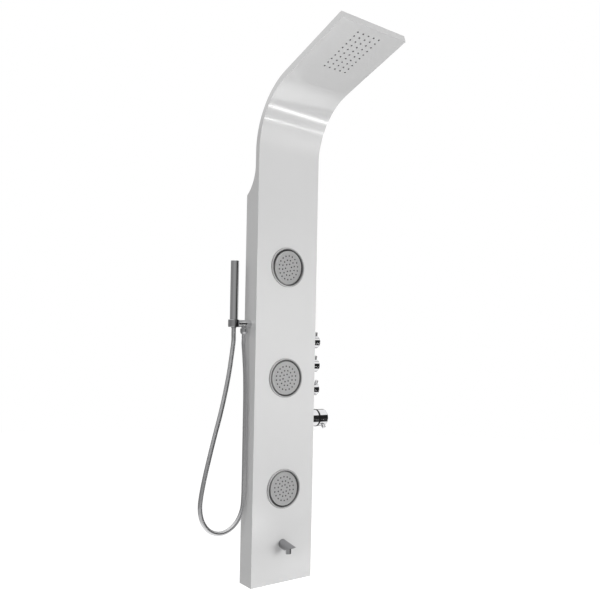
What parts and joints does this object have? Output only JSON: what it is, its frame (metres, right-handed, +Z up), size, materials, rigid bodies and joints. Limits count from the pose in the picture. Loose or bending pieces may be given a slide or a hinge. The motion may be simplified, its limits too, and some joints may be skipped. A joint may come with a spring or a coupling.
{
  "type": "wall-hung shower panel column",
  "caption": "Brushed steel shower panel with a curved rain head, three tilting body jets, three diverter knobs, a lever mixer, a hand shower on a hose and a tub spout.",
  "frame": {"origin": "wall plane, at the middle of the panel's bottom edge", "axes": "+Z up, +X to the right seen from the front, +Y into the wall, so the front faces -Y"},
  "size_m": [0.4164, 0.4084, 1.4509],
  "materials": {
    "brushed_front": "fine vertical brushing, satin",
    "plain_steel": "mill finish stainless steel",
    "bright_chrome": "mirror chrome plating",
    "satin_chrome": "satin chrome plating",
    "hose_metal": "chromed spiral hose",
    "grey_silicone": "matt grey silicone",
    "black_rubber": "matt black rubber",
    "dark_plastic": "moulded black plastic",
    "hose_plastic": "braid-reinforced plastic hose",
    "raw_brass": "cast and machined brass"
  },
  "bodies": {
    "root": {"front_shell": "brushed_front", "head_cover": "brushed_front", "cover_screws": "plain_steel", "wall_brackets": "plain_steel", "hanger_straps": "plain_steel", "rain_chamber": "dark_plastic", "rain_nozzle_mat": "grey_silicone", "head_hose": "hose_plastic", "jet_bezels": "bright_chrome", "jet_gaskets": "black_rubber", "jet_housings": "dark_plastic", "jet_ball_stems": "raw_brass", "jet_hoses": "hose_plastic", "diverter_manifold": "raw_brass", "diverter_cartridges": "dark_plastic", "valve_lock_nuts": "raw_brass", "mixer_body": "raw_brass", "mixer_cartridge": "dark_plastic", "mixer_sleeve": "bright_chrome", "mixer_seal_ring": "black_rubber", "mixer_lock_nut": "raw_brass", "link_pipe": "raw_brass", "handset_holder": "bright_chrome", "cradle_insert": "dark_plastic", "shank_lock_nuts": "raw_brass", "outlet_union": "raw_brass", "outlet_hose_nut": "bright_chrome", "shower_hose": "hose_metal", "spout_tube": "bright_chrome", "spout_aerator": "bright_chrome", "spout_elbow": "raw_brass", "feed_hoses": "hose_plastic"},
    "top_ring": {"top_jet_ring": "dark_plastic"},
    "top_disc": {"top_jet_socket": "dark_plastic", "top_jet_nozzles": "grey_silicone", "top_jet_disc": "satin_chrome"},
    "middle_ring": {"middle_jet_ring": "dark_plastic"},
    "middle_disc": {"middle_jet_socket": "dark_plastic", "middle_jet_nozzles": "grey_silicone", "middle_jet_disc": "satin_chrome"},
    "bottom_ring": {"bottom_jet_ring": "dark_plastic"},
    "bottom_disc": {"bottom_jet_socket": "dark_plastic", "bottom_jet_nozzles": "grey_silicone", "bottom_jet_disc": "satin_chrome"},
    "rain_valve": {"rain_knob": "bright_chrome", "rain_knob_pin": "bright_chrome", "rain_knob_stem": "raw_brass"},
    "jets_valve": {"jets_knob": "bright_chrome", "jets_knob_pin": "bright_chrome", "jets_knob_stem": "raw_brass"},
    "outlet_valve": {"outlet_knob": "bright_chrome", "outlet_knob_pin": "bright_chrome", "outlet_knob_stem": "raw_brass"},
    "mixer_control": {"mixer_handle": "bright_chrome", "mixer_lever": "bright_chrome", "mixer_stem": "raw_brass"},
    "hose_end": {"cone_nut": "bright_chrome"},
    "handset": {"handset_body": "bright_chrome", "handset_face": "dark_plastic", "handset_cap": "bright_chrome"}
  },
  "joints": [
    {"name": "top_jet_nod", "type": "hinge", "parent": "root", "child": "top_ring", "pos_m": [0, -0.049, 0.8925], "axis": [1, 0, 0], "range_deg": [-16, 8]},
    {"name": "top_jet_turn", "type": "hinge", "parent": "top_ring", "child": "top_disc", "pos_m": [0, -0.049, 0.8925], "axis": [0, -0.0698, 0.9976], "range_deg": [-16, 8]},
    {"name": "middle_jet_nod", "type": "hinge", "parent": "root", "child": "middle_ring", "pos_m": [0, -0.049, 0.5795], "axis": [1, 0, 0], "range_deg": [-12, 12]},
    {"name": "middle_jet_turn", "type": "hinge", "parent": "middle_ring", "child": "middle_disc", "pos_m": [0, -0.049, 0.5795], "axis": [0, 0, 1], "range_deg": [-12, 12]},
    {"name": "bottom_jet_nod", "type": "hinge", "parent": "root", "child": "bottom_ring", "pos_m": [0, -0.049, 0.2655], "axis": [1, 0, 0], "range_deg": [-9, 15]},
    {"name": "bottom_jet_turn", "type": "hinge", "parent": "bottom_ring", "child": "bottom_disc", "pos_m": [0, -0.049, 0.2655], "axis": [0, 0.0523, 0.9986], "range_deg": [-15, 9]},
    {"name": "rain_knob_turn", "type": "hinge", "parent": "root", "child": "rain_valve", "pos_m": [0.12, -0.03, 0.685], "axis": [1, 0, 0], "range_deg": [-8, 82]},
    {"name": "jets_knob_turn", "type": "hinge", "parent": "root", "child": "jets_valve", "pos_m": [0.12, -0.03, 0.615], "axis": [1, 0, 0], "range_deg": [-5, 85]},
    {"name": "outlet_knob_turn", "type": "hinge", "parent": "root", "child": "outlet_valve", "pos_m": [0.12, -0.03, 0.545], "axis": [1, 0, 0], "range_deg": [-114, 66]},
    {"name": "mixer_turn", "type": "hinge", "parent": "root", "child": "mixer_control", "pos_m": [0.14, -0.03, 0.459], "axis": [-1, 0, 0], "range_deg": [0, 120]},
    {"name": "handset_lift", "type": "slide", "parent": "root", "child": "hose_end", "axis": [0, 0, 1], "range_m": [0, 0.06], "deforming": ["shower_hose"]},
    {"name": "handset_turn", "type": "hinge", "parent": "hose_end", "child": "handset", "pos_m": [-0.154, -0.028, 0.76], "axis": [0, 0, 1], "range_deg": [-180, 180]}
  ]
}
